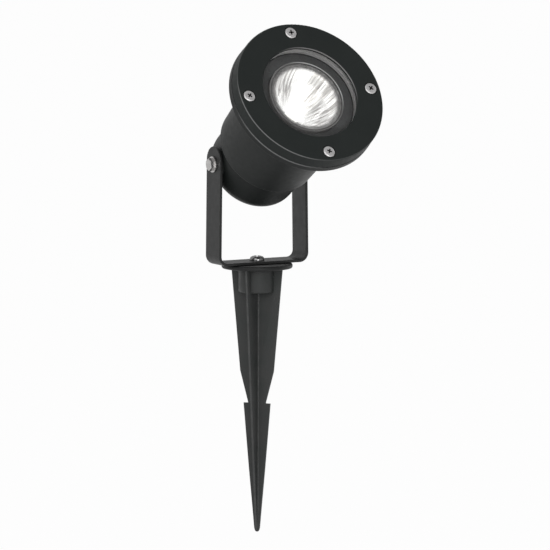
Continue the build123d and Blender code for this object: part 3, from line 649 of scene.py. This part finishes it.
streak_reach = (0.008, 0.0165)
glow_end = (0.0220, 0.0226)
mirror_end = (0.0222, 0.0230)
rim_bed = (0.0226, 0.0231)
seam_inside = (0.0233, 0.0235)
seam_outside = (0.0242, 0.0240)
bead = (0.0241, 0.0243)
reflector, tree, shader, where = start_finish("reflector", (0.5, 0.49, 0.48), 0.2)
flat, reach = across_beam(tree, along_beam(tree, where))
sideways, upward = spokes(tree, flat)
broken = tree.nodes.new("ShaderNodeCombineXYZ")
tree.links.new(sideways, broken.inputs["X"])
tree.links.new(upward, broken.inputs["Y"])
tree.links.new(fade(tree, reach, 0.0, rim_radius, 2.0, 2.3), broken.inputs["Z"])
streaks = cloud(tree, broken.outputs["Vector"], 0.075, 2.5)
# Painted shade: the bowl is dimmer on its sides and in streaks out from the neck.
right_side = fade(tree, sideways, 0.3, 0.8)
left_side = times(tree, fade(tree, sideways, 0.35, 0.05), fade(tree, upward, -0.75, -0.25))
dim = times(tree, combine(tree, "MAXIMUM", right_side, left_side), fade(tree, reach, *streak_reach))
dim = times(tree, dim, fade(tree, streaks, 0.36, 0.62, 0.2, 1.0))
tint(tree, dim, shader, (0.5, 0.49, 0.48), (0.2, 0.195, 0.19), (0.0, 1.0))
lay_over(tree, shader, fade(tree, reach, *rim_bed), (0.22, 0.208, 0.205))
rim_seam = times(tree, fade(tree, reach, *seam_inside), fade(tree, reach, *seam_outside, 0.0, 0.8))
lay_over(tree, shader, rim_seam, (0.07, 0.066, 0.065))
# Painted glint: a bright band on the rim's bead at the upper right.
upper_right = times(tree, fade(tree, sideways, -0.3, 0.4), fade(tree, upward, -0.5, 0.2))
lay_over(tree, shader, times(tree, fade(tree, reach, *bead), upper_right), (0.9, 0.88, 0.87))
# Painted light: the bowl glows as the reflection of the lit capsule, dimmer where the painted shade lies.
tint(tree, dim, shader, (1.0, 0.99, 0.985), (0.36, 0.34, 0.335), (0.0, 1.0), "Emission Color")
tree.links.new(fade(tree, reach, *glow_end, 0.8, 0.0), shader.inputs["Emission Strength"])
tree.links.new(fade(tree, reach, *mirror_end, 1.0, 0.0), shader.inputs["Metallic"])
vary_gloss(tree, cloud(tree, where, 0.002), shader, 0.14, 0.28)
fluted_reflector.data.materials.append(reflector)
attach(fluted_reflector, "head")
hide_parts("lamp_reflector")

# Lamp capsule: the small lit quartz glass in the middle of the reflector, slightly clouded
# where it was pinched shut.
capsule_glass, tree, shader, where = start_finish("capsule_glass", (1.0, 0.98, 0.94), 0.1)
tint(tree, cloud(tree, where, 0.002), shader, (0.90, 0.87, 0.82), (1.0, 0.98, 0.94))
vary_gloss(tree, cloud(tree, where, 0.0012), shader, 0.06, 0.2)
shader.inputs["Emission Color"].default_value = (1.0, 0.98, 0.95, 1)
shader.inputs["Emission Strength"].default_value = 1.5
dress("lamp_capsule", capsule_glass)

# Lamp cover glass: clear in the middle, with a ground and cemented edge that looks grey and
# mottled where it sits in the rim. The edge has painted shade on its left side and painted light
# towards its bottom.


def mix_shaders(tree, share, under, over):
    """Ends a material in a mix of two shaders, with as much of the second as a measure says."""
    mix = tree.nodes.new("ShaderNodeMixShader")
    tree.links.new(share, mix.inputs["Fac"])
    tree.links.new(under, mix.inputs[1])
    tree.links.new(over, mix.inputs[2])
    tree.links.new(mix.outputs["Shader"], tree.nodes["Material Output"].inputs["Surface"])


ground_edge = (0.0196, 0.0226)
lamp_glass, tree, shader, where = start_finish("lamp_glass", (0.2, 0.2, 0.2), 0.4)
tint(tree, cloud(tree, where, 0.0024, 5), shader, (0.22, 0.206, 0.203), (0.48, 0.455, 0.448), (0.32, 0.72))
flat, reach = across_beam(tree, along_beam(tree, where))
sideways, upward = spokes(tree, flat)
# Painted shade on the left of the ground edge, and painted light towards its bottom.
lay_over(tree, shader, fade(tree, sideways, -0.1, -0.8, 0.0, 0.55), (0.13, 0.12, 0.117))
lay_over(tree, shader, fade(tree, upward, -0.6, -1.0, 0.0, 0.6), (0.42, 0.40, 0.395))
clear = tree.nodes.new("ShaderNodeBsdfTransparent")
ground = fade(tree, reach, *ground_edge, 0.03, 0.85)
mix_shaders(tree, ground, clear.outputs["BSDF"], shader.outputs["BSDF"])
dress("lamp_cover_glass", lamp_glass)

# Lamp support ring: a turned ring, anodised dark grey, that centres the lamp in the head and
# hides the space behind it.
ring_metal, tree, shader, where = start_finish("ring_metal", (0.078, 0.0765, 0.0765), 0.45)
tint(tree, cloud(tree, where, 0.004, 4), shader, (0.070, 0.0687, 0.0687), (0.087, 0.0855, 0.0855))
raise_grain(tree, cloud(tree, where, 0.0005, 2), shader, 0.00003)
dress("lamp_support_ring", ring_metal)

# Glass gasket: a pale silicone channel round the edge of the front glass, which shows as a
# light band inside the window.
gasket_rubber, tree, shader, where = start_finish("gasket_rubber", (0.78, 0.745, 0.74), 0.5)
tint(tree, cloud(tree, where, 0.004), shader, (0.74, 0.707, 0.70), (0.82, 0.783, 0.778))
raise_grain(tree, cloud(tree, where, 0.0005, 2), shader, 0.00002)
dress("glass_gasket", gasket_rubber)

# Front glass: a clear toughened disc behind the bezel's lip, with the faint smears that
# weather leaves on its face. Its edges are ground before it is toughened.
pane_radius = 0.03456
pane_back = 0.08093
pane_front = 0.08387
pane_bevel = 0.0004
front_pane = cylinder(128, pane_radius, pane_back, pane_front)
front_pane.name = "front_pane"
round_edges(front_pane, pane_bevel, 2, is_level)
bpy.ops.object.shade_smooth_by_angle(angle=radians(35))
settle(front_pane, head_frame)
clear_glass, tree, shader, where = start_finish("clear_glass", (1.0, 1.0, 1.0), 0.03)
clear = tree.nodes.new("ShaderNodeBsdfTransparent")
clear.inputs["Color"].default_value = (0.97, 0.98, 0.98, 1)
shine = tree.nodes.new("ShaderNodeBsdfGlossy")
vary_gloss(tree, cloud(tree, where, 0.012, 4), shine, 0.01, 0.06)
grazing = tree.nodes.new("ShaderNodeFresnel")
grazing.inputs["IOR"].default_value = 1.3
mix_shaders(tree, grazing.outputs["Fac"], clear.outputs["BSDF"], shine.outputs["BSDF"])
front_pane.data.materials.append(clear_glass)
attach(front_pane, "head")
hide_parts("front_glass")

# Front bezel: a thick die cast ring, powder coated like the housing and sunk round its four
# screws. Painted highlights run along its outer edge, strongest on its lit side, and along its
# window's edge at the upper right.
outer_front = (0.0854, 0.0857)
outer_rim = (0.0485, 0.0488)
outer_lit_side = (-0.83, -0.56, 0)
window_front = (0.0855, 0.0857)
window_rim = (0.0324, 0.0321)
bezel_paint, tree, shader, where = start_finish("bezel_paint", (0.0214, 0.0249, 0.0239), 0.48)
shader.inputs["Specular IOR Level"].default_value = 0.1
tint(tree, cloud(tree, where, 0.02), shader, (0.0202, 0.0237, 0.0227), (0.0226, 0.0261, 0.0251))
beam = along_beam(tree, where)
flat, reach = across_beam(tree, beam)
ahead = split(tree, beam)[2]
# Painted highlight: a light line along the outer front edge, strongest on its lit side.
outer_edge_highlight = times(tree, fade(tree, ahead, *outer_front), fade(tree, reach, *outer_rim))
lit_side = fade(tree, towards(tree, flat, outer_lit_side), 0.6, 0.92, 0.35, 1.0)
lay_over(tree, shader, times(tree, outer_edge_highlight, lit_side), (0.17, 0.172, 0.172))
# Painted highlight: a light line on the window's edge at the upper right.
window_edge_highlight = times(tree, fade(tree, ahead, *window_front), fade(tree, reach, *window_rim))
sideways, upward = spokes(tree, flat)
upper_right = times(tree, fade(tree, sideways, -0.5, 0.3), fade(tree, upward, -0.4, 0.3))
lay_over(tree, shader, times(tree, window_edge_highlight, upper_right), (0.2, 0.195, 0.195))
vary_gloss(tree, cloud(tree, where, 0.003), shader, 0.46, 0.54)
raise_grain(tree, cloud(tree, where, 0.0006, 2), shader, 0.00002)
dress("front_bezel", bezel_paint)

# Bezel screws: four zinc plated pan heads with cross recesses, sunk a little into the bezel
# and screwed into the housing's flange. Each was left at its own turn.
screw_circle = 0.04275
screw_seat = 0.0847
bezel_crown = (
    (0.00005, 0.00045),
    (0.00016, 0.0003),
    (0.00035, 0.00025),
    (0.0006, 0.00016),
    (0.0011, 0.00014),
)
places_and_turns = {"right": (0, 45), "top": (90, -4), "left": (180, 45), "bottom": (270, -26)}
for side, (around, turn) in places_and_turns.items():
    screw = pan_screw(
        "bezel_screw_" + side,
        zinc_steel,
        head_radius=0.0039,
        crown=bezel_crown,
        shank_radius=0.002,
        shank_length=0.0115,
        slot_size=(0.0024, 0.0012, 0.0017),
        slot_foot=0.4,
    )
    place = (screw_circle * cos(radians(around)), screw_circle * sin(radians(around)), screw_seat)
    settle(screw, head_frame @ Matrix.Translation(place) @ Matrix.Rotation(radians(turn), 4, "Z"))
    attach(screw, "head")
    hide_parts("bezel_screws")

# Studio: a pale floor at the tip of the spike, a white surround that is brighter at the back,
# soft light from the sides and the front, and a camera that looks slightly down from the front
# left. Seen directly, in a gloss or through glass, the floor is white.
floor_height = -0.1655
floor_size = 6
floor_whiteness = 0.975
bpy.ops.mesh.primitive_plane_add(size=floor_size, location=(0, 0, floor_height))
floor = bpy.context.object
floor.name = "studio_floor"
floor_paper, tree, shader, where = start_finish("floor_paper", (0.45, 0.45, 0.45), 0.9)
ray = tree.nodes.new("ShaderNodeLightPath")
seen = combine(tree, "MAXIMUM", ray.outputs["Is Camera Ray"], ray.outputs["Is Glossy Ray"])
seen = combine(tree, "MAXIMUM", seen, ray.outputs["Is Transmission Ray"])
white = tree.nodes.new("ShaderNodeEmission")
whiteness = fade(tree, seen, 0.0, 1.0, 0.0, floor_whiteness)
mix_shaders(tree, whiteness, shader.outputs["BSDF"], white.outputs["Emission"])
floor.data.materials.append(floor_paper)

world = bpy.data.worlds.new("studio")
bpy.context.scene.world = world
world.use_nodes = True
tree = world.node_tree
surround = tree.nodes["Background"]
surround.inputs["Color"].default_value = (1, 1, 1, 1)
sky = tree.nodes.new("ShaderNodeTexCoord")
bright_side = (-0.6, 0.8, 0.0)
behind = towards(tree, sky.outputs["Generated"], bright_side)
tree.links.new(fade(tree, behind, -0.4, 0.7, 0.45, 0.7), surround.inputs["Strength"])


def soft_box(name, place, target, width, height, power):
    """A rectangular soft light that faces a point."""
    lamp = bpy.data.lights.new(name, "AREA")
    lamp.shape = "RECTANGLE"
    lamp.size = width
    lamp.size_y = height
    lamp.energy = power
    holder = bpy.data.objects.new(name, lamp)
    bpy.context.scene.collection.objects.link(holder)
    holder.location = place
    holder.rotation_mode = "QUATERNION"
    holder.rotation_quaternion = (Vector(target) - Vector(place)).to_track_quat("-Z", "Y")


soft_box("left_light", (-1.1, -0.9, 0.7), (0, 0, 0.03), width=0.9, height=0.9, power=6)
soft_box("right_light", (1.5, 0.3, 0.3), (0, 0, 0.03), width=0.6, height=1.2, power=2.5)
soft_box("front_light", (-0.35, -1.5, 0.2), (0, 0, 0.05), width=0.6, height=0.4, power=5)

view_turn = radians(28.25)
view_rise = radians(6.55)
view_width = 0.3418
view_right = 0.01113
view_down = 0.00453
view_distance = 1.5
right = Vector((cos(view_turn), -sin(view_turn), 0))
up = Vector((sin(view_rise) * sin(view_turn), sin(view_rise) * cos(view_turn), cos(view_rise)))
back = right.cross(up)
camera = bpy.data.cameras.new("camera")
camera.type = "ORTHO"
camera.ortho_scale = view_width
eye = bpy.data.objects.new("camera", camera)
bpy.context.scene.collection.objects.link(eye)
eye.location = right * view_right - up * view_down + back * view_distance
eye.rotation_mode = "QUATERNION"
eye.rotation_quaternion = (-back).to_track_quat("-Z", "Y")
bpy.context.scene.camera = eye
bpy.context.scene.view_settings.view_transform = "Standard"
